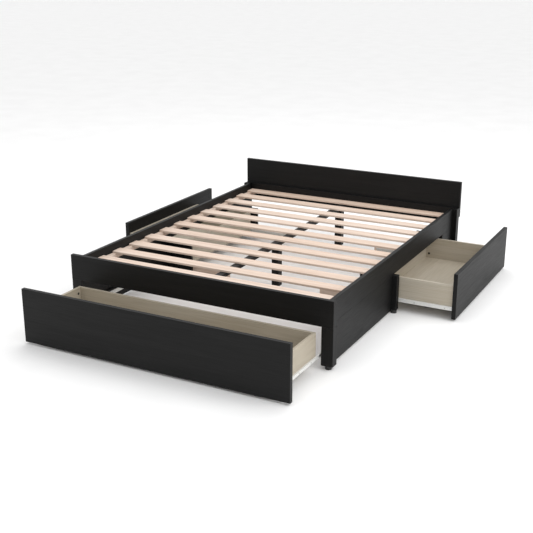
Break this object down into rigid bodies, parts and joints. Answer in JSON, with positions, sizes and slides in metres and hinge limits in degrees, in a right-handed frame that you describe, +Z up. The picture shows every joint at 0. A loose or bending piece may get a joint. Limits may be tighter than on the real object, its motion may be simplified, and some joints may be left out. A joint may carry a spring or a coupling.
{
  "type": "platform bed with storage drawers",
  "caption": "Low slatted platform bed in black wood, with a plain headboard, a wide foot drawer and a drawer on each side.",
  "frame": {"origin": "on the floor under the middle centre leg, midway across the bed", "axes": "+X to the bed's right seen from the foot, -Y towards the foot, +Z up"},
  "size_m": [2.25, 2.51, 0.528],
  "materials": {
    "black_wood": "black-brown stained ash-grain veneer, satin",
    "slat_wood": "pale planed birch, uncoated",
    "box_board": "beige foil-faced board, matte",
    "runner_steel": "white epoxy powder coat",
    "bracket_steel": "zinc plated",
    "plastic": "dark moulded nylon"
  },
  "bodies": {
    "frame": {"footboard": "black_wood", "foot_leg_l": "black_wood", "foot_leg_r": "black_wood", "side_rail_l": "black_wood", "side_rail_r": "black_wood", "side_panel_l": "black_wood", "side_panel_r": "black_wood", "mid_post_l": "black_wood", "mid_post_r": "black_wood", "head_post_l": "black_wood", "head_post_r": "black_wood", "back_rail": "black_wood", "headboard": "black_wood", "slat_ledge_l": "slat_wood", "slat_ledge_r": "slat_wood", "centre_beam": "black_wood", "centre_leg_mid": "black_wood", "centre_leg_head": "black_wood", "mid_partitions": "black_wood", "head_partitions": "black_wood", "foot_battens": "black_wood", "side_battens": "slat_wood", "floor_glides": "plastic", "fixed_runners": "runner_steel", "fixed_rollers": "plastic", "corner_brackets": "bracket_steel", "bracket_bolts": "bracket_steel", "slat_01": "slat_wood", "slat_02": "slat_wood", "slat_03": "slat_wood", "slat_04": "slat_wood", "slat_05": "slat_wood", "slat_06": "slat_wood", "slat_07": "slat_wood", "slat_08": "slat_wood", "slat_09": "slat_wood", "slat_10": "slat_wood", "slat_11": "slat_wood", "slat_12": "slat_wood"},
    "foot_drawer": {"foot_drawer_front": "black_wood", "foot_drawer_box_sides": "box_board", "foot_drawer_box_front": "box_board", "foot_drawer_box_back": "box_board", "foot_drawer_bottom": "box_board", "foot_drawer_runners": "runner_steel", "foot_drawer_rollers": "plastic"},
    "right_drawer": {"right_drawer_front": "black_wood", "right_drawer_box_sides": "box_board", "right_drawer_box_front": "box_board", "right_drawer_box_back": "box_board", "right_drawer_bottom": "box_board", "right_drawer_runners": "runner_steel", "right_drawer_rollers": "plastic"},
    "left_drawer": {"left_drawer_front": "black_wood", "left_drawer_box_sides": "box_board", "left_drawer_box_front": "box_board", "left_drawer_box_back": "box_board", "left_drawer_bottom": "box_board", "left_drawer_runners": "runner_steel", "left_drawer_rollers": "plastic"}
  },
  "joints": [
    {"name": "foot_drawer_slide", "type": "slide", "parent": "frame", "child": "foot_drawer", "axis": [0, -1, 0], "range_m": [-0.411, 0.004]},
    {"name": "right_drawer_slide", "type": "slide", "parent": "frame", "child": "right_drawer", "axis": [1, 0, 0], "range_m": [-0.346, 0.058]},
    {"name": "left_drawer_slide", "type": "slide", "parent": "frame", "child": "left_drawer", "axis": [-1, 0, 0], "range_m": [-0.306, 0.098]}
  ]
}
